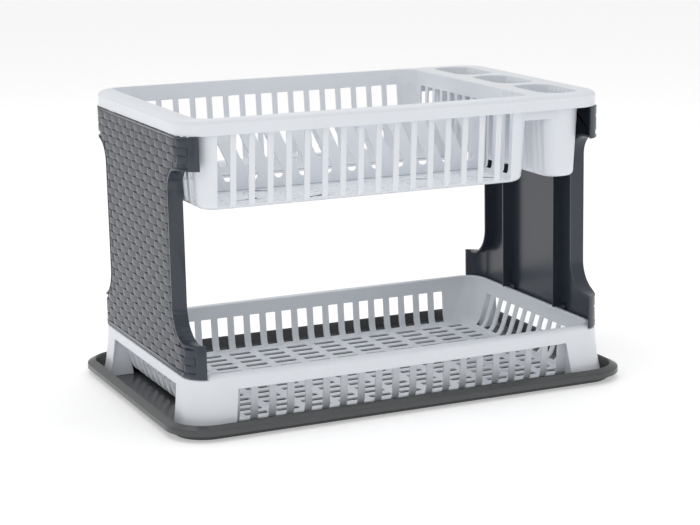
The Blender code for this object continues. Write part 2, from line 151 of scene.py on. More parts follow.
# A strand climbs from under its neighbour at its -Y end to its full height, and drops a
# little at its other end. Stations run from -1 to 1, and heights are shares of the depth.
STRAND_ACROSS = (-1.0, -0.92, -0.75, -0.4, 0.0, 0.4, 0.75, 0.92, 1.0)
STRAND_ALONG = (-1.0, -0.85, -0.65, -0.4, -0.1, 0.2, 0.5, 0.7, 0.83, 0.93, 1.0)
STRAND_EDGE = 0.8
STRAND_ROUND = 6.0
STRAND_START = 0.1
STRAND_CLIMB = 1.7
STRAND_NOSE = 0.35
STRAND_NOSE_ROUND = 9
STRAND_SHARP = math.radians(60.0)

# Upper basket's rim, from the deck out and down, as for the lower basket's surface
CAP_BOTTOM = 303.5
CAP_SURFACE = (
    (231.4, 146.3, 25.6, 320.6, 0.6), (232.4, 146.6, 26.0, 320.55, 0.7),
    (233.8, 147.0, 26.4, 320.3, 0.75), (235.6, 147.7, 27.1, 319.7, 0.85),
    (237.6, 149.0, 28.2, 318.6, 0.95), (239.1, 150.0, 29.2, 317.2, 1.0),
    (239.85, 150.65, 29.85, 315.8, 1.0), (240.0, 150.8, 30.0, 314.6, 1.0),
    (239.75, 150.55, 29.75, 314.0, 1.0), (239.7, 150.5, 29.7, 313.2, 1.0),
    (239.7, 150.5, 29.7, 303.9, 1.0), (239.5, 150.3, 29.5, CAP_BOTTOM, 1.0),
)
RIM_STATIONS = (41, 3)
DECK_TOP = 320.6
# Round the edge of a mouth: how far out, and height
MOUTH_FILLET = ((0.0, 318.6), (0.05, 319.5), (0.2, 320.1), (0.48, 320.45), (0.9, DECK_TOP))
CUP_FILLET = ((0.0, 318.6), (0.2, 319.4), (0.7, 320.1), (1.5, 320.5), (2.6, DECK_TOP))
# Upper basket
BASKET_X = (-223.0, 152.0)
BASKET_HALF_Y = 147.0
BASKET_WALL = 2.0
# Inset from the left, right and long sides at the rim, corner radius, height
BASKET_SURFACE = (
    (13.4, 12.0, 15.0, 12.0, 228.8), (11.8, 10.4, 13.6, 12.6, 228.95),
    (10.2, 8.8, 12.2, 13.0, 229.5), (8.4, 7.0, 10.6, 13.6, 230.8),
    (7.0, 5.7, 9.4, 14.2, 233.0), (6.4, 5.2, 9.0, 15.0, 236.8),
)
BASKET_MOUTH = (2.0, 2.0, 2.0, 16.0, 319.4)
BASKET_LEVELS = (303.0, 316.0)
UPPER_GAP_LEVELS = (3, 5)
UPPER_PITCH = 19.83
UPPER_GAP = 13.4
UPPER_FIRST = -194.7
UPPER_GAPS = 17
UPPER_END_PITCH = 19.0
UPPER_END_GAP = 12.4
UPPER_END_GAPS = 13
UPPER_SLOT = (26.0, 6.6)
UPPER_SLOT_PITCH = 35.0
UPPER_SLOT_COLUMNS = 10
UPPER_SLOT_ROWS = (66.0, 80.0, 94.0, 108.0, 122.0)
UPPER_SLOT_REACH = (-206.0, 136.0)
# The opening in the middle of the floor
WELL_X = (-165.0, 136.0)
WELL_RADIUS = 6.0
WELL_CORNER_STEPS = 6
WELL_HALF = 43.0

# Plate rails
RAIL_Y = 47.0
RAIL_WALL = 2.8
RAIL_PITCH = 28.2
RAIL_SLOTS = 11
RAIL_FIRST = -155.7
RAIL_LEAN = math.radians(25.0)
RAIL_SLOT_RADIUS = 5.2
RAIL_SLOT_BOTTOM = 238.7
RAIL_TOP = 290.0
RAIL_FOOT = 229.1
RAIL_EDGE = 0.7
RAIL_END = ((139.8, RAIL_FOOT), (144.6, 231.1), (146.4, 236.0), (148.4, RAIL_TOP))
RAIL_TIP = 3.0
RAIL_TOOTH = 16.6

# Cutlery cups: half length, half depth and corner radius inside the mouth
CUP_X = 194.5
CUP_PITCH = 98.0
CUP_COUNT = 3
CUP_SPACE = (22.5, 43.5, 20.0)
CUP_MOUTH_RADIUS = 20.0
MOUTH_STATIONS = 5
CUP_WALL = 2.0
CUP_TOP = 318.8
CUP_BOTTOM = 228.2
CUP_FLOOR = CUP_BOTTOM + CUP_WALL
CUP_TAPER = 5.0
# Inset, narrowing of the corner radius, height, and share of the flutes' depth
CUP_SECTION = (
    (CUP_TAPER + 3.6, 8.4, CUP_FLOOR, 0.0), (CUP_TAPER + 1.8, 6.8, CUP_FLOOR + 0.4, 0.0),
    (CUP_TAPER + 0.6, 5.7, CUP_FLOOR + 1.6, 0.35), (CUP_TAPER, 5.0, CUP_FLOOR + 3.6, 0.8),
    (CUP_TAPER - 0.2, 4.8, CUP_FLOOR + 8.0, 1.0), (0.3, 0.3, CUP_TOP - 6.0, 1.0),
    (0.0, 0.0, CUP_TOP, 0.0),
)
CUP_STATIONS = (3, 57)
FLUTE_PITCH = 8.6
FLUTE_COUNT = 7
FLUTE_DEPTH = 2.6
FLUTE_ROUND = 0.6
CUP_DRAIN = (6.0, 28.0)
CUP_DRAINS = 3
# Straps that tie the cups to the basket
TIE_X = (143.0, 186.0)
TIE_Y = (139.3, 141.3)
TIE_Z = (293.0, 305.0)

EDGE = 0.45
SHARP = math.radians(38.0)

# Plastics: base colour, roughness, strength of the grain and its scale
WHITE = ((0.85, 0.88, 0.925), 0.28, 0.10, 900.0)
GREY = ((0.034, 0.043, 0.060), 0.22, 0.20, 1400.0)
SILVER = ((0.070, 0.074, 0.076), 0.24, 0.15, 1200.0)
MOTTLE_SCALE = 9.0
MOTTLE_SHADE = (0.965, 1.02)
MOTTLE_GLOSS = (0.9, 1.12)
GRAIN_HEIGHT = 0.0002

# Camera: azimuth, elevation and roll in degrees, place in mm, lens in mm and shift
CAMERA_TURN = (-27.18, 12.71, -0.37)
CAMERA_PLACE = (-846.36, -1937.66, 581.19)
CAMERA_LENS = 99.77
CAMERA_SENSOR = 36.0
CAMERA_SHIFT = (-0.1683, 0.0266)

# Area lights: place, size and power. All of them aim at one point.
LIGHTS = {
    "overhead": ((0.0, 0.3, 2.2), (2.4, 2.0), 14.0),
    "front": ((-1.6, -2.2, 1.4), (1.6, 1.6), 3.0),
    "back": ((-1.2, 1.9, 1.4), (2.0, 1.4), 2.5),
}
AIM = (0.0, 0.0, 0.15)
# The world lights the rack less strongly than the camera sees it, and the floor glows a
# little, which keeps both of them pale
WORLD_LIGHT = 0.62
WORLD_SEEN = 1.0
FLOOR_SIZE = 12.0
FLOOR_COLOUR = (0.90, 0.90, 0.90, 1.0)
FLOOR_ROUGHNESS = 0.6
FLOOR_GLOW = 0.36
CLEAR_WHITE = (1.0, 1.0, 1.0, 1.0)


# ---------------------------------------------------------------- shapes


def clamp(value, low, high):
    return min(high, max(low, value))


def outline(half_x, half_y, radius, z, centre=(0.0, 0.0), steps=CORNER_STEPS):
    """The points of a level rounded rectangle, anticlockwise seen from above."""
    points = []
    for quarter in range(4):
        sign_x = 1 if quarter in (0, 3) else -1
        sign_y = 1 if quarter in (0, 1) else -1
        for step in range(steps + 1):
            angle = math.pi / 2 * (quarter + step / steps)
            x = sign_x * (half_x - radius) + radius * math.cos(angle)
            y = sign_y * (half_y - radius) + radius * math.sin(angle)
            points.append((x + centre[0], y + centre[1], z))
    return points


# A level rounded rectangle: its ends in X, half its depth, corner radius and height, the bow
# of its long sides, how its stations are stretched in X and Y, and its middle in Y
RING_FIELDS = "low high half radius z bow stretch middle"
Ring = namedtuple("Ring", RING_FIELDS, defaults=(0.0, (1.0, 1.0), 0.0))


def centred_ring(half_x, half_y, radius, z, share, stretch=(1.0, 1.0)):
    return Ring(-half_x, half_x, half_y, radius, z, RIM_BOW * share, stretch)


def side_y(ring, x):
    """How far out the ring's long side is at x, which may lie on a corner."""
    left, right = ring.low + ring.radius, ring.high - ring.radius
    past = max(left - x, x - right)
    if past > 0:
        return ring.half - ring.radius + math.sqrt(max(0.0, ring.radius**2 - past**2))
    middle, half = (left + right) / 2, (right - left) / 2
    return ring.half + (ring.bow + NUDGE) * (1 - ((x - middle) / half) ** 2)


def side_x(ring, y, side):
    """Where the ring's short side on +X or -X is at y, which may lie on a corner."""
    edge = ring.high if side > 0 else ring.low
    straight = ring.half - ring.radius
    past = abs(y) - straight
    if past <= 0:
        return edge + side * NUDGE * (1 - (y / straight) ** 2)
    return edge - side * (ring.radius - math.sqrt(max(0.0, ring.radius**2 - past**2)))


def corner(ring, side, x_end, y_end):
    """Points round the corner at +Y, from the long side to the short side."""
    centre_x = ring.high - ring.radius if side > 0 else ring.low + ring.radius
    centre_y = ring.half - ring.radius
    start = math.asin(clamp(side * (x_end - centre_x) / ring.radius, 0.0, 1.0))
    end = math.acos(clamp((y_end - centre_y) / ring.radius, 0.0, 1.0))
    points = []
    for step in range(CORNER_STEPS):
        angle = start + (end - start) * (step + 0.5) / CORNER_STEPS
        x = centre_x + side * ring.radius * math.sin(angle)
        points.append((x, centre_y + ring.radius * math.cos(angle)))
    return points


def loop(ring, xs, ys):
    """The ring's points, anticlockwise from the front's left end, and what each point's
    next edge belongs to: a long side, a short side or a corner, and its place there."""
    xs = [x * ring.stretch[0] for x in xs]
    ys = [y * ring.stretch[1] for y in ys]
    right = corner(ring, 1, xs[-1], ys[-1])
    left = corner(ring, -1, xs[0], ys[-1])
    long_tags = [("long", k) for k in range(len(xs) - 1)] + [("corner", 0)]
    short_tags = [("short", k) for k in range(len(ys) - 1)] + [("corner", 0)]
    turn = [("corner", 0)] * CORNER_STEPS
    points = [(x, -side_y(ring, x)) for x in xs]
    points += [(x, -y) for x, y in right]
    points += [(side_x(ring, y, 1), y) for y in ys]
    points += right[::-1]
    points += [(x, side_y(ring, x)) for x in reversed(xs)]
    points += left
    points += [(side_x(ring, y, -1), y) for y in reversed(ys)]
    points += [(x, -y) for x, y in reversed(left)]
    tags = long_tags + turn + short_tags + turn
    return [(x, y + ring.middle, ring.z) for x, y in points], tags + tags


def add_points(bm, points):
    return [bm.verts.new(Vector(point) * MM) for point in points]


def add_sheet(bm, rings, xs, ys, leave_out=None):
    """A surface through the rings, from the innermost out, less the faces to leave out."""
    loops = []
    for ring in rings:
        points, tags = loop(ring, xs, ys)
        loops.append(add_points(bm, points))
    for level, (inner, outer) in enumerate(zip(loops, loops[1:])):
        for j, tag in enumerate(tags):
            if leave_out and leave_out(level, tag):
                continue
            k = (j + 1) % len(inner)
            bm.faces.new((inner[j], outer[j], outer[k], inner[k]))
    return loops


def add_hole(bm, x, y, z, radius, steps=3):
    """A level loop of points for a hole with rounded corners."""
    half = ((x[1] - x[0]) / 2, (y[1] - y[0]) / 2)
    centre = ((x[0] + x[1]) / 2, (y[0] + y[1]) / 2)
    return add_points(bm, outline(*half, radius, z, centre, steps))


def fill_level(bm, loops):
    """Fills the level area between loops of points."""
    edges = []
    for points in loops:
        for i, vert in enumerate(points):
            after = points[(i + 1) % len(points)]
            edges.append(bm.edges.get((vert, after)) or bm.edges.new((vert, after)))
    made = bmesh.ops.triangle_fill(bm, edges=edges, normal=(0.0, 0.0, 1.0))
    for face in made["geom"]:
        if isinstance(face, bmesh.types.BMFace) and face.normal.z < 0:
            face.normal_flip()


def link_object(name, bm):
    mesh = bpy.data.meshes.new(name)
    bm.to_mesh(mesh)
    bm.free()
    obj = bpy.data.objects.new(name, mesh)
    bpy.context.scene.collection.objects.link(obj)
    return obj


def sheet_object(name, bm, thickness):
    """Gives a surface its thickness, on the side away from its normals."""
    loose = [vert for vert in bm.verts if not vert.link_faces]
    bmesh.ops.delete(bm, geom=loose, context="VERTS")
    obj = link_object(name, bm)
    solidify = obj.modifiers.new("thickness", "SOLIDIFY")
    solidify.thickness = thickness * MM
    solidify.offset = -1.0
    solidify.use_even_offset = True
    return obj


def add_object(name, bm, triangles=True):
    """A new object. Its faces are triangles where a Boolean needs them flat."""
    bmesh.ops.recalc_face_normals(bm, faces=bm.faces)
    if triangles:
        bmesh.ops.triangulate(bm, faces=bm.faces)
    return link_object(name, bm)


def add_loft(bm, rings):
    """One closed body through the rings, with a cap on the first and the last."""
    loops = [add_points(bm, points) for points in rings]
    for first, second in zip(loops, loops[1:]):
        for i in range(len(first)):
            j = (i + 1) % len(first)
            bm.faces.new((first[i], first[j], second[j], second[i]))
    bm.faces.new(loops[0][::-1])
    bm.faces.new(loops[-1])


def loft(name, rings):
    bm = bmesh.new()
    add_loft(bm, rings)
    return add_object(name, bm)


def add_box(bm, x, y, z):
    low, high = (
        [(x[0], y[0], level), (x[1], y[0], level), (x[1], y[1], level), (x[0], y[1], level)]
        for level in z
    )
    add_loft(bm, (low, high))


def boxes(name, extents):
    bm = bmesh.new()
    for extent in extents:
        add_box(bm, *extent)
    return add_object(name, bm)


def both_ways(low, high):
    """The range and its mirror image."""
    return ((low, high), (-high, -low))


def centred(centre, width):
    return (centre - width / 2, centre + width / 2)


def places(count, pitch):
    """Evenly spaced centres about 0."""
    return [pitch * (i - (count - 1) / 2) for i in range(count)]


def apply_modifiers(obj):
    graph = bpy.context.evaluated_depsgraph_get()
    mesh = bpy.data.meshes.new_from_object(obj.evaluated_get(graph))
    obj.modifiers.clear()
    obj.data = mesh


def join(obj, tool, operation):
    """Applies one Boolean and removes its tool."""
    modifier = obj.modifiers.new(operation.lower(), "BOOLEAN")
    modifier.operation = operation
    modifier.solver = "EXACT"
    modifier.object = tool
    apply_modifiers(obj)
    bpy.data.objects.remove(tool)


def cut(obj, tool):
    join(obj, tool, "DIFFERENCE")


def fuse(obj, tool):
    join(obj, tool, "UNION")


def soften(obj, width=EDGE):
    """Rounds the sharp edges a little, as a mould does, and shades the rest smooth."""
    bevel = obj.modifiers.new("edges", "BEVEL")
    bevel.width = width * MM
    bevel.segments = 2
    bevel.limit_method = "ANGLE"
    bevel.angle_limit = SHARP
    bevel.use_clamp_overlap = False
    apply_modifiers(obj)
    shade(obj)


def smooth(obj, angle):
    for polygon in obj.data.polygons:
        polygon.use_smooth = True
    obj.data.set_sharp_from_angle(angle=angle)


def shade(obj):
    smooth(obj, SHARP)
    weighted = obj.modifiers.new("normals", "WEIGHTED_NORMAL")
    weighted.keep_sharp = True
    apply_modifiers(obj)


def merge(obj, *others):
    """Adds the meshes of the others to the object and removes them."""
    bm = bmesh.new()
    bm.from_mesh(obj.data)
    for other in others:
        bm.from_mesh(other.data)
        bpy.data.objects.remove(other)
    bm.to_mesh(obj.data)
    bm.free()


# ---------------------------------------------------------------- materials


def shader(name, colour, roughness, grain, grain_scale):
    """A moulded plastic: faint mottling of colour and gloss, and a fine grain."""
    material = bpy.data.materials.new(name)
    material.use_nodes = True
    nodes = material.node_tree.nodes
    links = material.node_tree.links
    principled = nodes["Principled BSDF"]
    principled.inputs["Metallic"].default_value = 0.0
    place = nodes.new("ShaderNodeTexCoord")
    mottle = nodes.new("ShaderNodeTexNoise")
    mottle.inputs["Scale"].default_value = MOTTLE_SCALE
    mottle.inputs["Detail"].default_value = 3.0
    links.new(place.outputs["Object"], mottle.inputs["Vector"])
    tint = nodes.new("ShaderNodeMix")
    tint.data_type = "RGBA"
    # By number, since the mix node's sockets share their names between its data types
    factor, dark, bright = tint.inputs[0], tint.inputs[6], tint.inputs[7]
    for socket, share in zip((dark, bright), MOTTLE_SHADE):
        socket.default_value = (*(min(1.0, channel * share) for channel in colour), 1.0)
    links.new(mottle.outputs["Fac"], factor)
    links.new(tint.outputs[2], principled.inputs["Base Color"])
    gloss = nodes.new("ShaderNodeMapRange")
    gloss.inputs["To Min"].default_value = roughness * MOTTLE_GLOSS[0]
    gloss.inputs["To Max"].default_value = roughness * MOTTLE_GLOSS[1]
    links.new(mottle.outputs["Fac"], gloss.inputs["Value"])
    links.new(gloss.outputs["Result"], principled.inputs["Roughness"])
    fine = nodes.new("ShaderNodeTexNoise")
    fine.inputs["Scale"].default_value = grain_scale
    fine.inputs["Detail"].default_value = 2.0
    links.new(place.outputs["Object"], fine.inputs["Vector"])
    bump = nodes.new("ShaderNodeBump")
    bump.inputs["Strength"].default_value = grain
    bump.inputs["Distance"].default_value = GRAIN_HEIGHT
    links.new(fine.outputs["Fac"], bump.inputs["Height"])
    links.new(bump.outputs["Normal"], principled.inputs["Normal"])
    return material


def dress(obj, material, slot, body, *nodes):
    """Gives a piece its material and its body, and the CAD nodes that it stands for."""
    obj.data.materials.clear()
    obj.data.materials.append(material)
    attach(obj, body)
    if nodes:
        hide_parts(*nodes)


# ---------------------------------------------------------------- pieces


def make_drip_tray(material):
    rings = []
    for inset, z in TRAY_SECTION:
        size = (TRAY_HALF[0] - inset, TRAY_HALF[1] - inset, TRAY_RADIUS - inset)
        rings.append(outline(*size, z, steps=TRAY_CORNER_STEPS))
    bm = bmesh.new()
    add_loft(bm, rings)
    tray = add_object("drip_tray_moulded", bm, triangles=False)
    shade(tray)
    dress(tray, material, "light_grey_plastic", "drip_tray", "drip_tray")


def gap_edges(centres, width):
    return [edge for centre in centres for edge in centred(centre, width)]


def window_half(z, sizes):
    """Half the width of a window in the skirt, which widens towards the bottom."""
    top, bottom = sizes
    share = (WINDOW_TOP - z) / (WINDOW_TOP - LEG_FOOT)
    return top + (bottom - top) * clamp(share, 0.0, 1.0)


def lower_leaves_out(level, tag):
    side, place = tag
    if level >= LOWER_SKIRT_LEVEL:
        return side != "corner"
    first, last = LOWER_GAP_LEVELS
    return side != "corner" and place % 2 == 0 and first <= level <= last


def seat(bm):
    """Draws the rim in where the side panels stand round it."""
    inset = PANEL_WALL + GAP
    half_x, half_y, radius = (size - inset for size in (*PANEL_HALF, PANEL_RADIUS))
    for vert in bm.verts:
        x, y, z = vert.co / MM
        if abs(x) < WRAP_END - GAP or z <= PANEL_Z[0] - GAP:
            continue
        past = Vector((abs(x) - half_x + radius, abs(y) - half_y + radius))
        if past.x > 0 and past.y > 0 and past.length > radius:
            past *= radius / past.length
        past.x = min(past.x, radius)
        past.y = min(past.y, radius)
        vert.co.x = math.copysign(half_x - radius + past.x, x) * MM
        vert.co.y = math.copysign(half_y - radius + past.y, y) * MM


def make_webs():
    """Plates that close the legs beside each window, from the skirt to the basket."""
    bm = bmesh.new()
    for side in (-1, 1):
        for span in both_ways(FRONT_WINDOW_HALF[1], FRONT_WINDOW_HALF[1] + WEB):
            add_loft(bm, [[(x, side * y, z) for y, z in FRONT_WEB] for x in span])
        for span in both_ways(END_WINDOW_HALF[1], END_WINDOW_HALF[1] + WEB):
            add_loft(bm, [[(side * x, y, z) for x, z in END_WEB] for y in span])
    return add_object("webs", bm, triangles=False)


def make_lower_basket(material):
    xs = gap_edges(places(LOWER_FRONT_GAPS, LOWER_PITCH), LOWER_GAP)
    ys = gap_edges(places(LOWER_END_GAPS, LOWER_PITCH), LOWER_GAP)
    rings = []
    first, last = LOWER_RIM_LEVELS
    for level, station in enumerate(LOWER_SURFACE):
        share = clamp((level - first) / (last - first), 0.0, 1.0)
        z = station[3]
        wide = 1 + share * (window_half(z, FRONT_WINDOW_HALF) / xs[-1] - 1)
        deep = 1 + share * (window_half(z, END_WINDOW_HALF) / ys[-1] - 1)
        rings.append(centred_ring(*station, stretch=(wide, deep)))
    bm = bmesh.new()
    loops = add_sheet(bm, rings, xs, ys, lower_leaves_out)
    seat(bm)
    floor = [loops[0]]
    for x in places(LOWER_SLOT_GRID[0], LOWER_SLOT_PITCH[0]):
        ends = centred(x, LOWER_SLOT[0])
        span = [clamp(end, -LOWER_SLOT_REACH, LOWER_SLOT_REACH) for end in ends]
        for y in places(LOWER_SLOT_GRID[1], LOWER_SLOT_PITCH[1]):
            far_side = abs(y) + LOWER_SLOT[1] / 2
            if far_side > side_y(rings[0], max(map(abs, span))) - SLACK:
                reach = side_x(rings[0], far_side, 1) - SLACK
                span = [clamp(end, -reach, reach) for end in span]
            width = centred(y, LOWER_SLOT[1])
            floor.append(add_hole(bm, span, width, rings[0].z, SLOT_RADIUS))
    fill_level(bm, floor)
    basket = sheet_object("lower_basket_moulded", bm, LOWER_THICK)
    soften(basket)
    webs = make_webs()
    shade(webs)
    merge(basket, webs)
    dress(basket, material, "white_plastic", "rack", "lower_basket")


def waist_contour(shift):
    """The edge of one long cut-out, from the top wrap to the bottom one, in Y and Z.
    The shift moves it towards the middle of the panel."""
    top_z, top_radius = WAIST_TOP
    bottom_z, bottom_radius = WAIST_BOTTOM
    beyond = PANEL_HALF[1] + CONTOUR_PAST
    corners = ((1, top_z - top_radius, top_radius), (2, bottom_z + bottom_radius, bottom_radius))
    points = [(beyond, top_z + shift)]
    for quarter, middle_z, radius in corners:
        for step in range(CORNER_STEPS + 1):
            angle = math.pi / 2 * (quarter + step / CORNER_STEPS)
            y = WAIST_HALF + radius + (radius + shift) * math.cos(angle)
            z = middle_z + (radius + shift) * math.sin(angle)
            points.append((y, z))
    points.append((beyond, bottom_z - shift))
    return points


def prism_yz(name, points, x, mirrored=True):
    """A body along X over a closed outline in Y and Z, and its mirror image in Y."""
    bm = bmesh.new()
    for sign in (1, -1) if mirrored else (1,):
        add_loft(bm, [[(px, sign * y, z) for y, z in points] for px in x])
    return add_object(name, bm)


def column(name, inset, x, z):
    """A rounded column that fills a panel's outside, cut off behind x."""
    half_x = PANEL_HALF[0] - inset
    half_y = PANEL_HALF[1] - inset
    body = loft(name, [outline(half_x, half_y, PANEL_RADIUS - inset, level) for level in z])
    cut(body, boxes("behind", [((-2 * half_x, x), (-2 * half_y, 2 * half_y), TOOL_Z)]))
    return body


def weave_recess():
    """The sunken field that the strands lie in: all of the outside but a border."""
    beyond = PANEL_HALF[1] + FIELD_PAST
    right = [(beyond, WEAVE_Z[1]), *waist_contour(WEAVE_BORDER), (beyond, WEAVE_Z[0])]
    left = [(-y, z) for y, z in reversed(right)]
    field = prism_yz("field", right + left, (WEAVE_EDGE_X, TOOL_X[1]), False)
    cut(field, column("floor", WEAVE_DEPTH, TOOL_X[0], TOOL_Z))
    return field


def on_panel(s, z, height):
    """The point at a distance s round the panel from its middle, at a height above the
    bottom of the weave."""
    straight = PANEL_HALF[1] - PANEL_RADIUS
    radius = PANEL_RADIUS - WEAVE_DEPTH + height
    if abs(s) <= straight:
        return (PANEL_HALF[0] - PANEL_RADIUS + radius, s, z)
    angle = (abs(s) - straight) / PANEL_RADIUS
    x = PANEL_HALF[0] - PANEL_RADIUS + radius * math.cos(angle)
    y = straight + radius * math.sin(angle)
    return (x, math.copysign(y, s), z)


def weave_limit(z):
    """How far round the panel the weave goes at this height."""
    straight = PANEL_HALF[1] - PANEL_RADIUS
    past_corner = WEAVE_EDGE_X + STRAND_SPACE - PANEL_HALF[0] + PANEL_RADIUS
    full = straight + PANEL_RADIUS * math.acos(past_corner / PANEL_RADIUS)
    (top_z, top_radius), (bottom_z, bottom_radius) = WAIST_TOP, WAIST_BOTTOM
    top_rise = z - (top_z - top_radius)
    bottom_drop = (bottom_z + bottom_radius) - z
    border = WEAVE_BORDER + STRAND_SPACE
    if top_rise <= 0 and bottom_drop <= 0:
        return WAIST_HALF - border
    rise, radius = (top_rise, top_radius) if top_rise > 0 else (bottom_drop, bottom_radius)
    wide = radius + border
    if rise >= wide:
        return full
    return min(full, WAIST_HALF + radius - math.sqrt(wide * wide - rise * rise))


def strand_height(across, along):
    """A strand's height, as a share of the weave's depth, at a station on it."""
    rounding = STRAND_EDGE + (1 - STRAND_EDGE) * (1 - abs(across) ** STRAND_ROUND)
    emerged = math.sin(math.pi / 2 * min(1.0, (1 + along) / STRAND_CLIMB))
    climb = STRAND_START + (1 - STRAND_START) * emerged
    return rounding * climb * (1 - STRAND_NOSE * max(0.0, along) ** STRAND_NOSE_ROUND)


def add_strand(bm, low, high, bottom, top):
    """One strand between its crossings, or the part of it inside the border, unless too
    little of it is left at its middle or at its edges."""
    least_middle, least_edge = STRAND_LEAST
    middle = (bottom + top) / 2
    half = (top - bottom) / 2
    if min(high, weave_limit(middle)) - max(low, -weave_limit(middle)) < least_middle:
        return
    levels = []
    for across in STRAND_ACROSS:
        z = middle + across * half
        limit = weave_limit(z)
        start, end = max(low, -limit), min(high, limit)
        if end - start < least_edge:
            return
        row = []
        for along in STRAND_ALONG:
            s = (start + end) / 2 + along * (end - start) / 2
            row.append((s, z, WEAVE_DEPTH * strand_height(across, along)))
        levels.append(row)
    upper = [add_points(bm, [on_panel(*place) for place in row]) for row in levels]
    lower = [
        add_points(bm, [on_panel(s, z, -WEAVE_ROOT) for s, z, _ in row])
        for row in levels
    ]
    rows, columns = len(STRAND_ACROSS), len(STRAND_ALONG)
    for i in range(rows - 1):
        for j in range(columns - 1):
            bm.faces.new((upper[i][j], upper[i][j + 1], upper[i + 1][j + 1], upper[i + 1][j]))
            bm.faces.new((lower[i][j], lower[i + 1][j], lower[i + 1][j + 1], lower[i][j + 1]))
    for j in range(columns - 1):
        bm.faces.new((upper[0][j], lower[0][j], lower[0][j + 1], upper[0][j + 1]))
        bm.faces.new((upper[-1][j], upper[-1][j + 1], lower[-1][j + 1], lower[-1][j]))
    for i in range(rows - 1):
        bm.faces.new((upper[i][0], upper[i + 1][0], lower[i + 1][0], lower[i][0]))
        bm.faces.new((upper[i][-1], lower[i][-1], lower[i + 1][-1], upper[i + 1][-1]))


def mirror_x(obj):
    bm = bmesh.new()
    bm.from_mesh(obj.data)
    for vert in bm.verts:
        vert.co.x = -vert.co.x
    bmesh.ops.reverse_faces(bm, faces=bm.faces)
    bm.to_mesh(obj.data)
    bm.free()


def make_weave(name, material, mirrored):
    bm = bmesh.new()
    pitch = (WEAVE_Z[1] - WEAVE_Z[0]) / WEAVE_ROWS
    for row in range(WEAVE_ROWS):
        bottom = WEAVE_Z[0] + row * pitch + STRAND_SPACE / 2
        top = bottom + pitch - STRAND_SPACE
        shift = STRAND_LENGTH / 2 * (row % 2)
        for i in range(-STRANDS_EACH_WAY, STRANDS_EACH_WAY):
            low = i * STRAND_LENGTH + shift + STRAND_SPACE / 2
            add_strand(bm, low, low + STRAND_LENGTH - STRAND_SPACE, bottom, top)
    bmesh.ops.recalc_face_normals(bm, faces=bm.faces)
    weave = link_object(name, bm)
    if mirrored:
        mirror_x(weave)
    smooth(weave, STRAND_SHARP)
    dress(weave, material, "grey_plastic", "rack")


def make_side_panel(side, material, mirrored):
    panel = column(f"side_panel_{side}_moulded", 0.0, WRAP_END, PANEL_Z)
    cut(panel, column("inside", PANEL_WALL, WRAP_END - SLACK, TOOL_Z))
    band = waist_contour(-SLACK) + waist_contour(PANEL_WALL)[::-1]
    flange = prism_yz("flange", band, (PANEL_HALF[0] - FLANGE_DEPTH, TOOL_X[1]))
    skin = PANEL_WALL / 4
    bounds = column("bounds", skin, WRAP_END, (PANEL_Z[0] + skin, PANEL_Z[1] - skin))
    join(flange, bounds, "INTERSECT")
    fuse(panel, flange)
    cut(panel, prism_yz("waist", waist_contour(0.0), TOOL_X))
    inside_wall = PANEL_HALF[0] - PANEL_WALL + ROOT
    low_root = (RIB_Z[0], RIB_Z[0] + TONGUE_ROOT)
    high_root = (RIB_Z[1] - TONGUE_ROOT, RIB_Z[1])
    ribs = []
    pads = []
    tongues = []
    for y in (-RIB_Y, RIB_Y):
        ribs.append(((RIB_FACE, inside_wall), centred(y, RIB_WALL), RIB_Z))
        for root in (low_root, high_root):
            pads.append(((PAD_FACE, inside_wall), centred(y, PAD_WIDTH), root))
        sides = centred(y, TONGUE_WIDTH)
        tongues.append((TONGUE_X, sides, (TONGUE_Z[0], low_root[1] - SINK)))
        tongues.append((TONGUE_X, sides, (high_root[0] + SINK, TONGUE_Z[1])))
    fuse(panel, boxes("ribs", ribs))
    fuse(panel, boxes("pads", pads))
    fuse(panel, boxes("tongues", tongues))
    cut(panel, weave_recess())
    soften(panel)
    if mirrored:
        mirror_x(panel)
    dress(panel, material, "grey_plastic", "rack", f"side_panel_{side}")
    make_weave(f"side_panel_{side}_weave", material, mirrored)


def basket_ring(left, right, side, radius, z):
    low, high = BASKET_X[0] + left, BASKET_X[1] - right
    return Ring(low, high, BASKET_HALF_Y - side, radius, z)


def basket_rings():
    """The basket's inside, from its floor to just under the deck."""
    rings = [basket_ring(*station) for station in BASKET_SURFACE]
    start, end = BASKET_SURFACE[-1], BASKET_MOUTH
    for z in BASKET_LEVELS:
        share = (z - start[-1]) / (end[-1] - start[-1])
        rings.append(basket_ring(*(a + (b - a) * share for a, b in zip(start, end))))
    left, right, side, radius, _ = BASKET_MOUTH
    for out, z in MOUTH_FILLET:
        rings.append(basket_ring(left - out, right - out, side - out, radius + out, z))
    return rings


def upper_leaves_out(level, tag):
    side, place = tag
    first, last = UPPER_GAP_LEVELS
    return side != "corner" and place % 2 == 0 and first <= level <= last


def even_stations(half, count):
    return [half * (2 * i / (count - 1) - 1) for i in range(count)]


def flute(y):
    """How far a cup's side is drawn in by its flutes at a distance y from its middle."""
    half = FLUTE_COUNT * FLUTE_PITCH / 2
    if abs(y) >= half:
        return 0.0
    return FLUTE_DEPTH * abs(math.sin(math.pi * (y + half) / FLUTE_PITCH)) ** FLUTE_ROUND


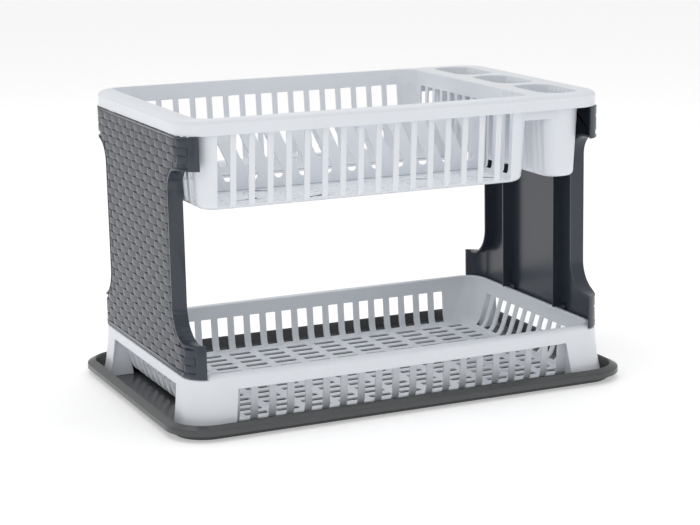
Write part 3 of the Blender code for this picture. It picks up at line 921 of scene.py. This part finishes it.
def make_cup(y):
    """The cutlery cup whose middle is at y."""
    half_x, half_y, radius = CUP_SPACE
    xs = even_stations(half_x - radius - SLACK, CUP_STATIONS[0])
    ys = even_stations(half_y - radius - SLACK, CUP_STATIONS[1])
    rings = []
    for inset, narrowing, z, _ in CUP_SECTION:
        low, high = CUP_X - half_x + inset, CUP_X + half_x - inset
        rings.append(Ring(low, high, half_y - inset, radius - narrowing, z, middle=y))
    bm = bmesh.new()
    loops = add_sheet(bm, rings, [CUP_X + x for x in xs], ys)
    for points, (*_, share) in zip(loops, CUP_SECTION):
        for vert in points:
            x, across = vert.co.x / MM - CUP_X, vert.co.y / MM - y
            if abs(x) > half_x / 2:
                vert.co.x -= math.copysign(share * flute(across), x) * MM
    floor = [loops[0]]
    for x in places(CUP_DRAINS, 2 * CUP_DRAIN[0]):
        span, width = centred(CUP_X + x, CUP_DRAIN[0]), centred(y, CUP_DRAIN[1])
        floor.append(add_hole(bm, span, width, CUP_FLOOR, SLOT_RADIUS))
    fill_level(bm, floor)
    cup = sheet_object("cup", bm, CUP_WALL)
    soften(cup)
    return cup


def rail_outline():
    """A plate rail seen from the front: a base with slots that lean towards -X."""
    lean = Vector((-math.sin(RAIL_LEAN), math.cos(RAIL_LEAN)))
    across = Vector((math.cos(RAIL_LEAN), math.sin(RAIL_LEAN)))
    slope = math.tan(RAIL_LEAN)
    left = RAIL_FIRST - RAIL_SLOT_RADIUS / math.cos(RAIL_LEAN) - RAIL_TOOTH
    points = [(left, RAIL_FOOT), *RAIL_END]
    for i in reversed(range(RAIL_SLOTS)):
        centre = Vector((RAIL_FIRST + i * RAIL_PITCH, RAIL_SLOT_BOTTOM + RAIL_SLOT_RADIUS))
        sides = []
        for side in (1, -1):
            wall = centre + across * RAIL_SLOT_RADIUS * side
            rise = RAIL_TOP - wall.y
            corner = Vector((wall.x - rise * slope, RAIL_TOP))
            tip = [corner + Vector((RAIL_TIP * side, 0.0)), corner - lean * RAIL_TIP]
            sides.append(tip)
        points += [tuple(point) for point in sides[0]]
        for step in range(CORNER_STEPS + 1):
            angle = RAIL_LEAN - math.pi * step / CORNER_STEPS
            offset = Vector((math.cos(angle), math.sin(angle))) * RAIL_SLOT_RADIUS
            points.append(tuple(centre + offset))
        points += [tuple(point) for point in reversed(sides[1])]
    rise = RAIL_TOP - RAIL_SLOT_BOTTOM - RAIL_SLOT_RADIUS
    points.append((left - rise * slope + RAIL_TIP, RAIL_TOP))
    points.append((left - (rise - RAIL_TIP) * slope, RAIL_TOP - RAIL_TIP))
    points.append((left, RAIL_SLOT_BOTTOM + RAIL_SLOT_RADIUS))
    return points


def make_plate_rail(name, y, material):
    bm = bmesh.new()
    walls = centred(y, RAIL_WALL)
    add_loft(bm, [[(x, level, z) for x, z in rail_outline()] for level in walls])
    rail = add_object(f"{name}_moulded", bm, triangles=False)
    soften(rail, RAIL_EDGE)
    dress(rail, material, "white_plastic", "upper_basket", name)


def add_cup_mouth(bm, y):
    """The rounded edge of a cup's mouth. Its last loop lies in the deck."""
    half_x, half_y, _ = CUP_SPACE
    rings = []
    for out, z in CUP_FILLET:
        low, high = CUP_X - (half_x + out), CUP_X + (half_x + out)
        rings.append(Ring(low, high, half_y + out, CUP_MOUTH_RADIUS + out, z, middle=y))
    straight_x, straight_y = (half - CUP_MOUTH_RADIUS - SLACK for half in (half_x, half_y))
    xs = [CUP_X - straight_x, CUP_X + straight_x]
    return add_sheet(bm, rings, xs, even_stations(straight_y, MOUTH_STATIONS))[-1]


def add_upper_floor(bm, outside, level_ring):
    """The basket's floor, with rows of slots in front of and behind the open middle."""
    middle = (BASKET_X[0] + BASKET_X[1]) / 2
    level = level_ring.z
    floor = [outside]
    for x in places(UPPER_SLOT_COLUMNS, UPPER_SLOT_PITCH):
        span = [clamp(end, *UPPER_SLOT_REACH) for end in centred(x + middle, UPPER_SLOT[0])]
        for row in UPPER_SLOT_ROWS:
            low, high = (side_x(level_ring, row + UPPER_SLOT[1] / 2, side) for side in (-1, 1))
            ends = (max(span[0], low + SLACK), min(span[1], high - SLACK))
            for y in (-row, row):
                width = centred(y, UPPER_SLOT[1])
                floor.append(add_hole(bm, ends, width, level, SLOT_RADIUS))
    well_y = (-WELL_HALF, WELL_HALF)
    floor.append(add_hole(bm, WELL_X, well_y, level, WELL_RADIUS, WELL_CORNER_STEPS))
    fill_level(bm, floor)


def make_upper_basket(material):
    centres = [UPPER_FIRST + i * UPPER_PITCH for i in range(UPPER_GAPS)]
    xs = gap_edges(centres, UPPER_GAP)
    ys = gap_edges(places(UPPER_END_GAPS, UPPER_END_PITCH), UPPER_END_GAP)
    bm = bmesh.new()
    rings = basket_rings()
    basket = add_sheet(bm, rings, xs, ys, upper_leaves_out)
    half_x, half_y, radius = CAP_SURFACE[0][:3]
    rim_xs = even_stations(half_x - radius - SLACK, RIM_STATIONS[0])
    rim_ys = even_stations(half_y - radius - SLACK, RIM_STATIONS[1])
    rim = add_sheet(bm, [centred_ring(*station) for station in CAP_SURFACE], rim_xs, rim_ys)
    cup_places = places(CUP_COUNT, CUP_PITCH)
    fill_level(bm, [basket[-1], rim[0], *(add_cup_mouth(bm, y) for y in cup_places)])
    add_upper_floor(bm, basket[0], rings[0])
    upper = sheet_object("upper_basket_moulded", bm, BASKET_WALL)
    soften(upper)
    cups = [make_cup(y) for y in cup_places]
    ties = boxes("ties", [(TIE_X, y, TIE_Z) for y in both_ways(*TIE_Y)])
    soften(ties)
    merge(upper, ties, *cups)
    dress(upper, material, "white_plastic", "upper_basket", "upper_basket")


# ---------------------------------------------------------------- camera and light


def make_camera():
    azimuth, elevation, roll = (math.radians(angle) for angle in CAMERA_TURN)
    across = math.cos(elevation)
    back = Vector(
        (math.sin(azimuth) * across, -math.cos(azimuth) * across, math.sin(elevation))
    )
    level = Vector((0, 0, 1)).cross(back).normalized()
    upright = back.cross(level)
    right = math.cos(roll) * level + math.sin(roll) * upright
    up = -math.sin(roll) * level + math.cos(roll) * upright
    data = bpy.data.cameras.new("camera")
    data.lens = CAMERA_LENS
    data.sensor_width = CAMERA_SENSOR
    data.shift_x, data.shift_y = CAMERA_SHIFT
    camera = bpy.data.objects.new("camera", data)
    rotation = Matrix((right, up, back)).transposed().to_4x4()
    camera.matrix_world = Matrix.Translation(Vector(CAMERA_PLACE) * MM) @ rotation
    bpy.context.scene.collection.objects.link(camera)
    bpy.context.scene.camera = camera


def make_light(name, place, size, power):
    data = bpy.data.lights.new(name, "AREA")
    data.shape = "RECTANGLE"
    data.size, data.size_y = size
    data.energy = power
    light = bpy.data.objects.new(name, data)
    light.location = place
    aim = Vector(AIM) - Vector(place)
    light.rotation_euler = aim.to_track_quat("-Z", "Y").to_euler()
    bpy.context.scene.collection.objects.link(light)


def make_floor():
    bm = bmesh.new()
    bmesh.ops.create_grid(bm, x_segments=1, y_segments=1, size=FLOOR_SIZE)
    floor = link_object("floor", bm)
    material = bpy.data.materials.new("floor")
    material.use_nodes = True
    principled = material.node_tree.nodes["Principled BSDF"]
    principled.inputs["Base Color"].default_value = FLOOR_COLOUR
    principled.inputs["Roughness"].default_value = FLOOR_ROUGHNESS
    principled.inputs["Emission Color"].default_value = CLEAR_WHITE
    principled.inputs["Emission Strength"].default_value = FLOOR_GLOW
    floor.data.materials.append(material)


def make_world():
    world = bpy.data.worlds.new("studio")
    world.use_nodes = True
    nodes = world.node_tree.nodes
    links = world.node_tree.links
    background = nodes["Background"]
    background.inputs["Color"].default_value = CLEAR_WHITE
    ray = nodes.new("ShaderNodeLightPath")
    strength = nodes.new("ShaderNodeMapRange")
    strength.inputs["To Min"].default_value = WORLD_LIGHT
    strength.inputs["To Max"].default_value = WORLD_SEEN
    links.new(ray.outputs["Is Camera Ray"], strength.inputs["Value"])
    links.new(strength.outputs["Result"], background.inputs["Strength"])
    bpy.context.scene.world = world
    bpy.context.scene.view_settings.view_transform = "Standard"


white = shader("white_plastic", *WHITE)
grey = shader("grey_plastic", *GREY)
silver = shader("light_grey_plastic", *SILVER)

make_drip_tray(silver)
make_lower_basket(white)
make_side_panel("right", grey, False)
make_side_panel("left", grey, True)
make_upper_basket(white)
make_plate_rail("plate_rail_front", -RAIL_Y, white)
make_plate_rail("plate_rail_back", RAIL_Y, white)
make_camera()
make_floor()
make_world()
for light_name, light_values in LIGHTS.items():
    make_light(light_name, *light_values)
